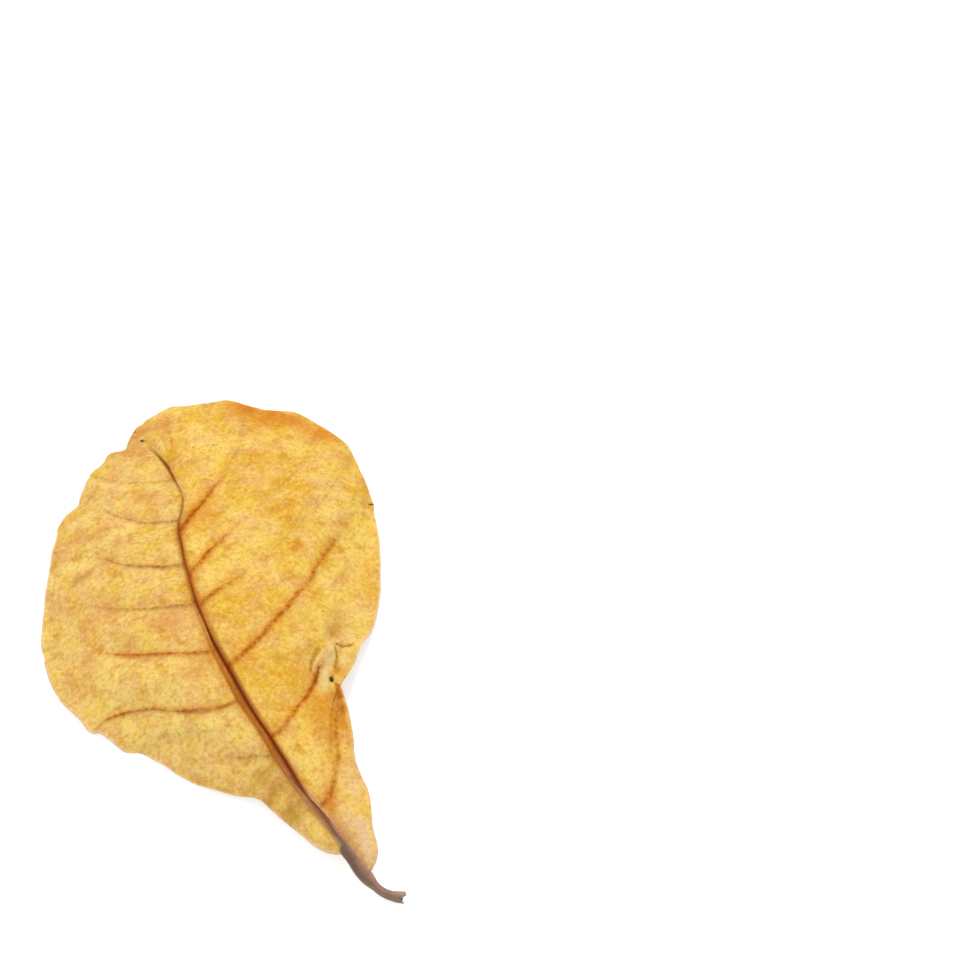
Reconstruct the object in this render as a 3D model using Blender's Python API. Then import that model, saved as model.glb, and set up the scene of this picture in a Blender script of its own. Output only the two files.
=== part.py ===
"""Dried leaf of the Indian almond tree, lying with its underside up.

The leaf grew as one piece, so it is one closed solid: blade, midrib, side veins and stalk.
It is a loft along the midrib. Each cross-section runs out to both margins along the curve of a
side vein, over the top of the leaf, and back underneath, so every side vein is a row of the loft.
The stalk's round sections have the same number of points and close the loft at its lower end.
Lengths are in millimetres up to the last step. The base of the blade is near 0,0 and its tip
lies along +Y, until the finished leaf is moved to have the middle of its box over the origin.
"""
import bmesh
import bpy
import numpy as np

MILLIMETRE = 0.001

BLADE_THICKNESS = 0.7

# Sections of the stalk: share of its length, half its width, half its height. Its broken end,
# where the fibres have split, is a little wider and forked.
STALK_SECTIONS = (
    (0.0, 1.7, 1.35), (0.2, 1.35, 1.25), (0.45, 1.25, 1.15), (0.7, 1.25, 1.2), (1.0, 1.45, 1.3),
)
STALK_FORK_DEPTH = 1.2

# Sections of the midrib: distance along it, half its width, how far it stands out of the blade
RIB_SECTIONS = (
    (0.0, 1.15, 1.3), (8.0, 1.3, 1.5), (18.0, 1.5, 1.8), (40.0, 1.45, 1.6), (65.0, 1.2, 1.35),
    (98.0, 0.95, 1.0), (128.0, 0.7, 0.7), (155.0, 0.55, 0.5), (195.0, 0.45, 0.3),
)

# Side veins: how far they stand out at the midrib, and half their width along the midrib
VEIN_HEIGHT = 0.6
VEIN_HALF_WIDTH = 1.2

# Places on the middle of the leaf's thickness: across, along, and height over what it lies on
STALK = ((6.4, -14.7, 0.6), (4.9, -13.7, 0.7), (2.7, -11.4, 1.1), (1.0, -8.2, 1.8))
MIDRIB = (
    (-0.2, -4.8, 3.0), (-1.0, -1.0, 4.1), (-1.9, 4.0, 5.2), (-3.6, 12.0, 6.8), (-5.9, 22.0, 9.0),
    (-7.3, 32.0, 11.0), (-8.4, 43.0, 13.0), (-9.8, 56.0, 15.0), (-10.3, 69.0, 16.0), (-9.9, 82.0, 16.2),
    (-8.4, 96.0, 15.9), (-6.3, 108.0, 15.0), (-3.7, 119.0, 14.2), (-1.3, 127.6, 13.4), (1.6, 133.4, 12.8),
    (3.9, 139.0, 12.1), (4.9, 147.0, 11.0), (5.5, 156.0, 9.2), (5.3, 164.0, 7.2), (4.3, 171.0, 5.4),
    (3.2, 176.0, 4.0), (1.5, 180.4, 2.6),
)
LEFT_MARGIN = (
    (-1.15, -5.0, 3.2), (-2.05, -1.2, 3.8), (-2.55, 1.3, 4.2), (-2.8, 3.2, 4.2), (-3.9, 3.9, 4.1),
    (-5.4, 5.1, 4.0), (-8.0, 8.2, 3.8), (-10.6, 15.7, 3.5), (-13.5, 23.5, 3.0), (-17.6, 32.3, 2.8),
    (-21.0, 35.6, 2.4), (-26.6, 41.1, 1.7), (-31.9, 48.3, 1.0), (-36.9, 56.9, 0.7), (-40.7, 63.5, 1.0),
    (-43.1, 64.6, 0.9), (-46.9, 71.3, 1.0), (-48.3, 74.1, 1.3), (-50.2, 75.1, 1.2), (-52.0, 80.8, 1.0),
    (-54.2, 88.8, 1.2), (-55.1, 98.0, 0.6), (-54.4, 107.2, -1.5), (-51.9, 116.7, -1.5),
    (-48.4, 125.1, -0.6), (-42.9, 136.6, 1.0), (-39.8, 142.9, 1.6), (-36.1, 149.0, 2.4),
    (-33.1, 154.7, 2.8), (-29.6, 157.4, 2.8), (-25.7, 158.7, 2.6), (-23.2, 162.3, 2.6),
    (-20.6, 166.2, 3.0), (-17.2, 169.8, 3.4), (-12.1, 172.7, 3.8), (-7.6, 175.0, 4.4),
    (-5.4, 174.3, 4.2), (-2.6, 174.8, 2.6),
)
RIGHT_MARGIN = (
    (1.9, -4.8, 3.6), (3.2, -4.1, 3.9), (4.6, -2.8, 4.0), (6.5, 0.0, 4.1), (7.3, 3.7, 4.2),
    (8.7, 8.8, 4.4), (10.4, 13.4, 4.7), (11.9, 17.6, 5.0), (12.3, 23.5, 5.6), (12.9, 29.4, 6.3),
    (15.0, 34.5, 7.0), (17.1, 41.6, 7.7), (18.6, 48.3, 8.3), (19.8, 53.5, 8.7), (21.6, 55.0, 8.6),
    (25.9, 58.4, 7.6), (32.6, 65.9, 5.8), (41.1, 75.8, 3.0), (45.2, 82.4, 1.6), (49.0, 90.0, 0.4),
    (53.1, 98.9, -0.8), (55.9, 106.3, -1.5), (58.3, 113.8, -1.5), (60.3, 120.1, -0.8),
    (61.3, 125.9, 0.6), (62.0, 132.8, 1.8), (62.7, 139.8, 3.0), (62.4, 144.7, 3.8), (60.6, 148.0, 4.4),
    (58.5, 152.6, 5.0), (56.3, 157.3, 5.6), (52.8, 162.7, 6.2), (48.3, 166.0, 6.6), (41.9, 170.9, 6.8),
    (38.2, 174.0, 6.8), (33.9, 177.9, 6.8), (27.4, 180.7, 6.4), (21.6, 183.1, 5.8), (16.6, 185.5, 5.0),
    (10.6, 185.4, 4.0), (5.4, 184.4, 2.6),
)

# Side veins from base to tip: root along the midrib, end along the margin, both measured from the
# base of the blade, how far the vein bows towards the base, and how far more its outer part does
LEFT_VEINS = (
    (42.0, 68.5, -1.8, 1.0), (63.7, 97.0, 7.3, -10.0), (82.0, 138.1, 4.3, 0.3), (101.6, 157.0, 7.3, -1.6),
    (118.6, 171.9, 7.3, -5.0), (138.0, 198.3, 9.0, -3.4), (158.3, 206.1, 4.2, -0.6),
)
RIGHT_VEINS = (
    (23.0, 60.0, 7.0, -6.0), (48.6, 85.4, 4.2, -7.0), (74.9, 147.9, 6.0, -3.0), (100.4, 165.0, 5.5, 1.1),
    (113.2, 179.5, -0.4, 5.1), (133.1, 207.7, 3.2, 3.1), (161.7, 234.8, 0.9, 0.8),
)

# How far along the midrib, and along each margin, that side of the blade hugs the rib and the
# base's lobe ends. From there outwards the rows follow the veins.
LEFT_FOOT = (8.3, 9.0)
RIGHT_FOOT = (8.0, 21.0)

# Between two veins the blade swells up, and towards its margin it bends down and waves
LEFT_SWELL = 1.5
RIGHT_SWELL = 1.0
SWELL_POWER = 0.7
DROP_POWER = 1.5
WAVE_HEIGHT = 0.7
WAVE_COUNTS = (7.0, 13.0)
WAVE_POWER = 4.0

# Pucker near the right margin, and the tip that is rolled under into a flap
PUCKER_PLACE = (27.0, 64.5)
PUCKER_RADIUS = 5.5
PUCKER_HEIGHT = 2.6
TIP_ROLL_RADIUS = 1.15
TIP_FLAP_LENGTH = 5.5
TIP_NARROWING = 0.6

# Fineness of the loft. The rib's columns are shares of its half-width, which is narrowed to the
# given share of the blade's reach where the blade is hardly wider than the rib.
CURVE_SAMPLES = 2000
ROW_SPACING = 4.0
RIB_COLUMNS = (0.55, 1.0)
RIB_SHARE_AT_BASE = 0.8
BLADE_COLUMNS = 11
STALK_ROWS = 9
TIP_ROLL_ROWS = 4
TIP_FLAP_ROWS = 2

LEAF_COLOUR = (0.62, 0.36, 0.10, 1.0)
LEAF_ROUGHNESS = 0.6


def smooth_through(knots, values, at):
    """Smooth curve through the values at the knots, read at the given places.

    Each span is a cubic, whose slopes at its ends are those of a parabola through three knots.
    """
    values = np.asarray(values, float).reshape(len(knots), -1)
    steps = np.diff(knots)[:, None]
    rises = np.diff(values, axis=0) / steps
    middle = (rises[:-1] * steps[1:] + rises[1:] * steps[:-1]) / (steps[:-1] + steps[1:])
    slopes = np.concatenate([rises[:1], middle, rises[-1:]])
    span = np.clip(np.searchsorted(knots, at, side="right") - 1, 0, len(steps) - 1)
    part = (at - np.asarray(knots)[span])[:, None] / steps[span]
    start = (1 + 2 * part) * (1 - part) ** 2 * values[span]
    start += part * (1 - part) ** 2 * steps[span] * slopes[span]
    end = part ** 2 * (3 - 2 * part) * values[span + 1]
    end += part ** 2 * (part - 1) * steps[span] * slopes[span + 1]
    return start + end


def distances_along(points):
    """Distance along a line of points, from its first point to each of them."""
    return np.concatenate(([0.0], np.cumsum(np.linalg.norm(np.diff(points, axis=0), axis=1))))


def dense_curve(points):
    """Distances along the smooth curve through the points, and its places at those distances."""
    chords = distances_along(np.array(points, float))
    curve = smooth_through(chords, points, np.linspace(0.0, chords[-1], CURVE_SAMPLES))
    return distances_along(curve), curve


def points_at(along, curve, places):
    """Points of a dense curve at the given distances along it."""
    return np.stack([np.interp(places, along, curve[:, axis]) for axis in range(3)], axis=-1)


def row_places(length):
    """Distances along the midrib of all rows: crest and feet of each vein, and even rows between."""
    fixed = [0.0, length]
    for vein in LEFT_VEINS + RIGHT_VEINS:
        fixed += [vein[0] - VEIN_HALF_WIDTH, vein[0], vein[0] + VEIN_HALF_WIDTH]
    rows = [0.0]
    for place in np.unique(np.round(fixed, 3))[1:]:
        gap = place - rows[-1]
        count = int(np.ceil(gap / ROW_SPACING))
        rows += list(rows[-1] + gap * np.arange(1, count + 1) / count)
    return np.array(rows)


def between_veins(rows, veins):
    """How far each row is from the veins beside it: 0 on a vein, 1 midway between two."""
    roots = [vein[0] for vein in veins]
    roots = np.array([-roots[0]] + roots + [rows[-1]])
    gap = np.clip(np.searchsorted(roots, rows, side="right") - 1, 0, len(roots) - 2)
    return np.abs(np.sin(np.pi * (rows - roots[gap]) / (roots[gap + 1] - roots[gap])))


def vein_crest(rows, veins):
    """1 on the row along a vein's crest, falling to 0 at the vein's feet."""
    away = np.min([np.abs(rows - vein[0]) for vein in veins], axis=0)
    return np.clip(1.0 - away / VEIN_HALF_WIDTH, 0.0, 1.0)


def half_blade(rows, midrib, side, margin_points, foot, veins, swell):
    """One half of the blade: middle of its thickness, and how far the ribs stand out of it.

    On its row, a point goes from the midrib to the margin on a curve that bows as the nearest
    veins do: a parabola, and a cubic that is highest two thirds of the way out. Its height falls
    with a power of the way gone, and adds the swelling between the veins, the waves of the margin
    and the pucker. The side is 1 on the right and -1 on the left.
    """
    length = rows[-1]
    along, margin = dense_curve(margin_points)
    roots = [0.0, foot[0]] + [vein[0] for vein in veins] + [length]
    ends = np.interp(rows, roots, [0.0, foot[1]] + [vein[1] for vein in veins] + [along[-1]])
    bows = np.interp(rows, roots, [0.0, 0.0] + [vein[2] for vein in veins] + [0.0])[:, None]
    outer_bows = np.interp(rows, roots, [0.0, 0.0] + [vein[3] for vein in veins] + [0.0])[:, None]
    outer = points_at(along, margin, ends)
    chord = outer - midrib
    reach = np.linalg.norm(chord[:, :2], axis=1, keepdims=True)
    baseward = side * np.stack([chord[:, 1], -chord[:, 0]], axis=1) / reach

    places, half_widths, rib_heights = np.array(RIB_SECTIONS).T
    rib = np.interp(rows, places, half_widths)[:, None]
    inner = np.minimum(rib, RIB_SHARE_AT_BASE * reach)
    steps = np.arange(1, BLADE_COLUMNS + 1) / BLADE_COLUMNS
    blade_part = inner + (reach - inner) * steps
    gone = np.concatenate([0.0 * inner, inner * np.array(RIB_COLUMNS), blade_part], axis=1)
    way = np.minimum(gone / reach, 1.0)

    plan = midrib[:, None, :2] + chord[:, None, :2] * way[:, :, None]
    bend = bows * 4.0 * way * (1.0 - way) + outer_bows * 6.75 * way ** 2 * (1.0 - way)
    plan += baseward[:, None, :] * bend[:, :, None]
    height = midrib[:, 2:] + chord[:, 2:] * way ** DROP_POWER
    height += swell * between_veins(rows, veins)[:, None] * (4.0 * way * (1.0 - way)) ** SWELL_POWER
    turn = (ends / along[-1])[:, None] * 2.0 * np.pi
    wave = sum(np.sin(count * turn + count) for count in WAVE_COUNTS) * np.sin(turn / 2.0)
    height += WAVE_HEIGHT * wave * way ** WAVE_POWER
    away = np.hypot(plan[:, :, 0] - PUCKER_PLACE[0], plan[:, :, 1] - PUCKER_PLACE[1])
    height += PUCKER_HEIGHT * np.exp(-(away / PUCKER_RADIUS) ** 2)

    rib_height = np.interp(rows, places, rib_heights)[:, None]
    rib_shape = rib_height * np.sqrt(np.clip(1.0 - (gone / rib) ** 2, 0.0, None))
    vein_shape = VEIN_HEIGHT * vein_crest(rows, veins)[:, None] * (1.0 - way) ** 0.6
    return np.concatenate([plan, height[:, :, None]], axis=2), np.maximum(rib_shape, vein_shape)


def tip_roll(last_row):
    """Rows that carry on from the last one: half a turn round a roll, then back under as a flap.

    Each is narrower than the one before it, as the leaf runs out in a point.
    """
    chord = last_row[-1] - last_row[0]
    ahead = np.array([-chord[1], chord[0], 0.0]) / np.hypot(chord[0], chord[1])
    down = np.array([0.0, 0.0, -1.0])
    turns = np.pi * np.arange(1, TIP_ROLL_ROWS + 1) / TIP_ROLL_ROWS
    lengths = TIP_FLAP_LENGTH * np.arange(1, TIP_FLAP_ROWS + 1) / TIP_FLAP_ROWS
    steps = [ahead * np.sin(turn) + down * (1.0 - np.cos(turn)) for turn in turns]
    steps = [TIP_ROLL_RADIUS * step for step in steps]
    steps += [2.0 * TIP_ROLL_RADIUS * down - ahead * length for length in lengths]
    gone = np.concatenate([turns * TIP_ROLL_RADIUS, np.pi * TIP_ROLL_RADIUS + lengths])
    widths = 1.0 - TIP_NARROWING * gone / gone[-1]
    middle = last_row[len(last_row) // 2]
    return middle + (last_row - middle) * widths[:, None, None] + np.array(steps)[:, None]


def surface_normals(grid):
    """Unit normals of a grid of points, from the neighbours of each along its row and column."""
    normals = np.cross(np.gradient(grid, axis=1), np.gradient(grid, axis=0))
    return normals / np.linalg.norm(normals, axis=2, keepdims=True)


def stalk_rings(along, curve, base, first_ring):
    """Rings of the stalk from its broken end to the blade, each with as many points as the blade's.

    A ring is an ellipse across the stalk. In the half nearest to the blade it turns by smooth
    steps into the shape of the blade's first ring. At the broken end its two sides stand further
    out than its top and bottom, as the split fibres do.
    """
    shares = np.arange(STALK_ROWS + 1) / STALK_ROWS
    centres = points_at(along, curve, base * shares)
    ahead = points_at(along, curve, base * shares + 0.5) - centres
    ahead[:, 2] = 0.0
    ahead /= np.linalg.norm(ahead, axis=1, keepdims=True)
    across = np.stack([ahead[:, 1], -ahead[:, 0], 0.0 * shares], axis=1)
    offsets = first_ring - centres[-1]
    nearness = np.clip(2.0 * shares - 1.0, 0.0, 1.0)[:, None]
    nearness = nearness * nearness * (3.0 - 2.0 * nearness)

    count = len(first_ring)
    angles = np.pi - 2.0 * np.pi * (np.arange(count) + 0.5) / count
    places, half_widths, half_heights = np.array(STALK_SECTIONS).T
    aside = np.interp(shares, places, half_widths)[:, None] * np.cos(angles)
    height = np.interp(shares, places, half_heights)[:, None] * np.sin(angles) + RIB_SECTIONS[0][2] / 2.0
    forward = (offsets @ ahead[-1]) * nearness
    aside += (offsets @ across[-1] - aside) * nearness
    height += (offsets[:, 2] - height) * nearness
    forward[0] -= STALK_FORK_DEPTH * np.abs(np.cos(angles))
    rings = centres[:, None] + across[:, None] * aside[:, :, None] + ahead[:, None] * forward[:, :, None]
    rings[:, :, 2] += height
    return rings[:-1]


def loft_faces(ring_count, ring_size, flip):
    """Triangles between neighbouring rings. Where flip is set, a cell is split the other way."""
    faces = []
    for ring in range(ring_count - 1):
        for place in range(ring_size):
            beside = (place + 1) % ring_size
            near = (ring * ring_size + place, ring * ring_size + beside)
            far = (near[0] + ring_size, near[1] + ring_size)
            if flip[ring, place]:
                faces += [(near[0], near[1], far[0]), (near[1], far[1], far[0])]
            else:
                faces += [(near[0], near[1], far[1]), (near[0], far[1], far[0])]
    return faces


def leaf_mesh():
    """The whole leaf as one closed mesh, in metres."""
    along, curve = dense_curve(STALK + MIDRIB)
    base = along[np.argmin(np.linalg.norm(curve - MIDRIB[0], axis=1))]
    rows = row_places(along[-1] - base)
    midrib = points_at(along, curve, base + rows)
    left, left_relief = half_blade(rows, midrib, -1.0, LEFT_MARGIN, LEFT_FOOT, LEFT_VEINS, LEFT_SWELL)
    right, right_relief = half_blade(
        rows, midrib, 1.0, RIGHT_MARGIN, RIGHT_FOOT, RIGHT_VEINS, RIGHT_SWELL)
    sheet = np.concatenate([left[:, :0:-1], right], axis=1)
    relief = np.concatenate([left_relief[:, :0:-1], right_relief], axis=1)
    roll = tip_roll(sheet[-1])
    sheet = np.concatenate([sheet, roll])
    relief = np.concatenate([relief, np.zeros(roll.shape[:2])])[:, :, None]

    normals = surface_normals(sheet)
    top = sheet + normals * (relief + BLADE_THICKNESS / 2.0)
    bottom = sheet - normals * BLADE_THICKNESS / 2.0
    rings = np.concatenate([top, bottom[:, ::-1]], axis=1)
    ring_size = rings.shape[1]
    stalk = stalk_rings(along, curve, base, rings[0])
    rings = np.concatenate([stalk, rings])

    # What would lie lower than the surface is lifted on to it, both faces of the sheet alike
    sunk = np.minimum(rings[:, :, 2], rings[:, ::-1, 2])
    sunk[:len(stalk)] = rings[:len(stalk), :, 2]
    rings[:, :, 2] -= np.minimum(sunk, 0.0)

    # Each cell of the blade is split along its shorter diagonal, and both faces alike
    one_way = np.linalg.norm(sheet[:-1, :-1] - sheet[1:, 1:], axis=2)
    other_way = np.linalg.norm(sheet[:-1, 1:] - sheet[1:, :-1], axis=2)
    columns = sheet.shape[1]
    flip = np.zeros((len(rings), ring_size), bool)
    flip[len(stalk):-1, :columns - 1] = one_way > other_way
    flip[len(stalk):-1, columns:-1] = (one_way <= other_way)[:, ::-1]
    faces = loft_faces(len(rings), ring_size, flip)

    # The flap's edge closes the loft between its two faces, and a hollow the stalk's broken end
    last = (len(rings) - 1) * ring_size
    for place in range(columns - 1):
        under = ring_size - 1 - place
        faces.append((last + place, last + place + 1, last + under - 1, last + under))
    heart = points_at(along, curve, np.array([STALK_FORK_DEPTH]))[0]
    heart[2] += RIB_SECTIONS[0][2] / 2.0
    points = np.concatenate([rings.reshape(-1, 3), heart[None]])
    for place in range(ring_size):
        faces.append((place, len(points) - 1, (place + 1) % ring_size))

    low, high = points.min(axis=0), points.max(axis=0)
    points -= ((low[0] + high[0]) / 2.0, (low[1] + high[1]) / 2.0, 0.0)
    mesh = bpy.data.meshes.new("leaf")
    mesh.from_pydata((points * MILLIMETRE).tolist(), [], faces)
    return mesh


def leaf_material():
    """Dry golden-brown leaf."""
    material = bpy.data.materials.new("dried_leaf")
    material.use_nodes = True
    shader = material.node_tree.nodes["Principled BSDF"]
    shader.inputs["Base Color"].default_value = LEAF_COLOUR
    shader.inputs["Roughness"].default_value = LEAF_ROUGHNESS
    shader.inputs["Metallic"].default_value = 0.0
    return material


def turn_faces_out(mesh):
    """Split every face into triangles and point all of them out of the solid."""
    work = bmesh.new()
    work.from_mesh(mesh)
    bmesh.ops.triangulate(work, faces=work.faces)
    bmesh.ops.recalc_face_normals(work, faces=work.faces)
    work.to_mesh(mesh)
    work.free()


for old in list(bpy.data.objects):
    bpy.data.objects.remove(old)

collection = bpy.data.collections.new("indian_almond_leaf")
bpy.context.scene.collection.children.link(collection)
mesh = leaf_mesh()
turn_faces_out(mesh)
mesh.shade_smooth()
mesh.materials.append(leaf_material())
collection.objects.link(bpy.data.objects.new("leaf", mesh))
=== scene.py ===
# Looks of a dried Indian almond leaf that lies with its underside up.
import math

import bpy
import numpy as np
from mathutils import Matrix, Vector


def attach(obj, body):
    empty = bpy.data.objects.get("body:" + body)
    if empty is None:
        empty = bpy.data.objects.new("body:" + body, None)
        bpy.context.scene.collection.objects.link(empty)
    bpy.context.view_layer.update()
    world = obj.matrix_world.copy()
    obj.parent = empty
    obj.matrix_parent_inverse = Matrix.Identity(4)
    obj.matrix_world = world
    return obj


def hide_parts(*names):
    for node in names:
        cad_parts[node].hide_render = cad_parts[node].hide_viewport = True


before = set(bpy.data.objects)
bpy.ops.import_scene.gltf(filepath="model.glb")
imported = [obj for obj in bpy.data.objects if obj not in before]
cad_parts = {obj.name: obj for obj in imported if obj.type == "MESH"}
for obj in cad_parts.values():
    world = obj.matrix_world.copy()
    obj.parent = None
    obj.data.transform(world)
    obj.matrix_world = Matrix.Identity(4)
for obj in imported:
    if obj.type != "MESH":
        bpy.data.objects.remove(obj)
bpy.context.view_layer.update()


# The view
# The camera looks steeply down on the leaf, from the side of its stalk and a little to its left.
# The leaf lies to the lower left of the picture, as in the photograph.
VIEW_CENTRE = Vector((0.0927, 0.0240, 0.0))
VIEW_DISTANCE = 0.659
VIEW_AZIMUTH = math.radians(-27.02)
VIEW_ELEVATION = math.radians(48.0)
LENS_MM = 75.0

scene = bpy.context.scene
ahead = Vector((
    -math.sin(VIEW_AZIMUTH) * math.cos(VIEW_ELEVATION),
    math.cos(VIEW_AZIMUTH) * math.cos(VIEW_ELEVATION),
    -math.sin(VIEW_ELEVATION),
))
camera_data = bpy.data.cameras.new("camera")
camera_data.lens = LENS_MM
camera_data.clip_start = 0.01
camera = bpy.data.objects.new("camera", camera_data)
camera.location = VIEW_CENTRE - ahead * VIEW_DISTANCE
camera.rotation_euler = ahead.to_track_quat("-Z", "Y").to_euler()
scene.collection.objects.link(camera)
scene.camera = camera


# The floor
# A wide smooth sheet of white acrylic, lit a little from below. The leaf lies straight on it.
FLOOR_HALF_SIZE = 3.0
FLOOR_COLOUR = (0.55, 0.56, 0.57, 1.0)
FLOOR_GLOW = 0.55

floor_mesh = bpy.data.meshes.new("floor")
floor_mesh.from_pydata(
    [(x, y, 0.0) for x, y in np.array([(-1, -1), (1, -1), (1, 1), (-1, 1)]) * FLOOR_HALF_SIZE],
    [], [(0, 1, 2, 3)],
)
floor = bpy.data.objects.new("floor", floor_mesh)
scene.collection.objects.link(floor)
floor_paint = bpy.data.materials.new("floor_paint")
floor_paint.use_nodes = True
floor_shader = floor_paint.node_tree.nodes["Principled BSDF"]
floor_looks = {
    "Base Color": FLOOR_COLOUR, "Roughness": 0.9, "Specular IOR Level": 0.1,
    "Emission Color": (1.0, 1.0, 1.0, 1.0), "Emission Strength": FLOOR_GLOW,
}
for name, value in floor_looks.items():
    floor_shader.inputs[name].default_value = value
floor_mesh.materials.append(floor_paint)


# The light
# A bright, even room, one broad lamp high behind the leaf to the right, and a weak one in front.
# Colours are shown as they are, with no film curve over them.
ROOM_LIGHT = 1.05
LAMPS = (
    {"name": "key", "place": (0.55, 0.75, 1.35), "size": 0.6, "watts": 17.0},
    {"name": "fill", "place": (-0.9, -0.7, 0.9), "size": 1.0, "watts": 6.0},
)

world = bpy.data.worlds.new("room")
world.use_nodes = True
world.node_tree.nodes["Background"].inputs["Color"].default_value = (1.0, 1.0, 1.0, 1.0)
world.node_tree.nodes["Background"].inputs["Strength"].default_value = ROOM_LIGHT
scene.world = world
scene.view_settings.view_transform = "Standard"
for lamp in LAMPS:
    lamp_data = bpy.data.lights.new(lamp["name"], "AREA")
    lamp_data.size = lamp["size"]
    lamp_data.energy = lamp["watts"]
    lamp_object = bpy.data.objects.new(lamp["name"], lamp_data)
    lamp_object.location = lamp["place"]
    lamp_object.rotation_euler = (-Vector(lamp["place"])).to_track_quat("-Z", "Y").to_euler()
    scene.collection.objects.link(lamp_object)


# The leaf
# One dried leaf that grew as one piece: a thin arched blade, a midrib and side veins that stand
# out of its underside, and a short stout stalk that broke off the twig with a forked end.
MILLIMETRE = 0.001

# Places on the middle of the leaf's thickness, in millimetres from the base of the blade: across,
# along towards the tip, and height over what the leaf lies on
STALK = ((6.4, -14.7, 0.6), (4.9, -13.7, 0.7), (2.7, -11.4, 1.1), (1, -8.2, 1.8))
MIDRIB = (
    (-0.2, -4.8, 3), (-1, -1, 4.1), (-1.9, 4, 5.2), (-3.6, 12, 6.8), (-5.9, 22, 9), (-7.3, 32, 11),
    (-8.4, 43, 13), (-9.8, 56, 15), (-10.3, 69, 16), (-9.9, 82, 16.2), (-8.4, 96, 15.9),
    (-6.3, 108, 15), (-3.7, 119, 14.2), (-1.3, 127.6, 13.4), (1.6, 133.4, 12.8), (3.9, 139, 12.1),
    (4.9, 147, 11), (5.5, 156, 9.2), (5.3, 164, 7.2), (4.3, 171, 5.4), (3.2, 176, 4),
    (1.5, 180.4, 2.6),
)
LEFT_MARGIN = (
    (-1.15, -5, 3.2), (-2.05, -1.2, 3.8), (-2.55, 1.3, 4.2), (-2.8, 3.2, 4.2), (-3.9, 3.9, 4.1),
    (-5.4, 5.1, 4), (-8, 8.2, 3.8), (-10.6, 15.7, 3.5), (-13.5, 23.5, 3), (-17.6, 32.3, 2.8),
    (-21, 35.6, 2.4), (-26.6, 41.1, 1.7), (-31.9, 48.3, 1), (-36.9, 56.9, 0.7), (-40.7, 63.5, 1),
    (-43.1, 64.6, 0.9), (-46.9, 71.3, 1), (-48.3, 74.1, 1.3), (-50.2, 75.1, 1.2), (-52, 80.8, 1),
    (-54.2, 88.8, 1.2), (-55.1, 98, 0.6), (-54.4, 107.2, -1.5), (-51.9, 116.7, -1.5),
    (-48.4, 125.1, -0.6), (-42.9, 136.6, 1), (-39.8, 142.9, 1.6), (-36.1, 149, 2.4),
    (-33.1, 154.7, 2.8), (-29.6, 157.4, 2.8), (-25.7, 158.7, 2.6), (-23.2, 162.3, 2.6),
    (-20.6, 166.2, 3), (-17.2, 169.8, 3.4), (-12.1, 172.7, 3.8), (-7.6, 175, 4.4),
    (-5.4, 174.3, 4.2), (-2.6, 174.8, 2.6),
)
RIGHT_MARGIN = (
    (1.9, -4.8, 3.6), (3.2, -4.1, 3.9), (4.6, -2.8, 4), (6.5, 0, 4.1), (7.3, 3.7, 4.2),
    (8.7, 8.8, 4.4), (10.4, 13.4, 4.7), (11.9, 17.6, 5), (12.3, 23.5, 5.6), (12.9, 29.4, 6.3),
    (15, 34.5, 7), (17.1, 41.6, 7.7), (18.6, 48.3, 8.3), (19.8, 53.5, 8.7), (21.6, 55, 8.6),
    (25.9, 58.4, 7.6), (32.6, 65.9, 5.8), (41.1, 75.8, 3), (45.2, 82.4, 1.6), (49, 90, 0.4),
    (53.1, 98.9, -0.8), (55.9, 106.3, -1.5), (58.3, 113.8, -1.5), (60.3, 120.1, -0.8),
    (61.3, 125.9, 0.6), (62, 132.8, 1.8), (62.7, 139.8, 3), (62.4, 144.7, 3.8), (60.6, 148, 4.4),
    (58.5, 152.6, 5), (56.3, 157.3, 5.6), (52.8, 162.7, 6.2), (48.3, 166, 6.6), (41.9, 170.9, 6.8),
    (38.2, 174, 6.8), (33.9, 177.9, 6.8), (27.4, 180.7, 6.4), (21.6, 183.1, 5.8), (16.6, 185.5, 5),
    (10.6, 185.4, 4), (5.4, 184.4, 2.6),
)

# How many points a smooth curve has, and how many steps the noise has before it repeats
CURVE_SAMPLES = 4000
LATTICE_SIZE = 97


def smooth_through(knots, values, at):
    """Smooth curve through the values at the knots, read at the given places.

    Each span is a cubic, whose slopes at its ends are those of a parabola through three knots.
    """
    values = np.asarray(values, float).reshape(len(knots), -1)
    steps = np.diff(knots)[:, None]
    rises = np.diff(values, axis=0) / steps
    middle = (rises[:-1] * steps[1:] + rises[1:] * steps[:-1]) / (steps[:-1] + steps[1:])
    slopes = np.concatenate([rises[:1], middle, rises[-1:]])
    span = np.clip(np.searchsorted(knots, at, side="right") - 1, 0, len(steps) - 1)
    part = (at - np.asarray(knots)[span])[:, None] / steps[span]
    start = (1 + 2 * part) * (1 - part) ** 2 * values[span]
    start += part * (1 - part) ** 2 * steps[span] * slopes[span]
    end = part ** 2 * (3 - 2 * part) * values[span + 1]
    end += part ** 2 * (part - 1) * steps[span] * slopes[span + 1]
    return start + end


def distances_along(points):
    """Distance along a line of points, from its first point to each of them."""
    return np.concatenate(([0.0], np.cumsum(np.linalg.norm(np.diff(points, axis=0), axis=1))))


def dense_curve(points):
    """Distances along the smooth curve through the points, and its places at those distances."""
    chords = distances_along(np.array(points, float))
    curve = smooth_through(chords, points, np.linspace(0.0, chords[-1], CURVE_SAMPLES))
    return distances_along(curve), curve


def points_at(along, curve, places):
    """Points of a dense curve at the given distances along it."""
    return np.stack([np.interp(places, along, curve[:, axis]) for axis in range(3)], axis=-1)


def ease(low, high, value):
    """0 below the low value, 1 above the high one, and a smooth S-shaped step between them."""
    part = np.clip((value - low) / (high - low), 0.0, 1.0)
    return part * part * (3.0 - 2.0 * part)


def bump_at(distance, radius):
    """1 at no distance, falling off as a bell curve with the given radius."""
    return np.exp(-(distance / radius) ** 2)


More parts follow.
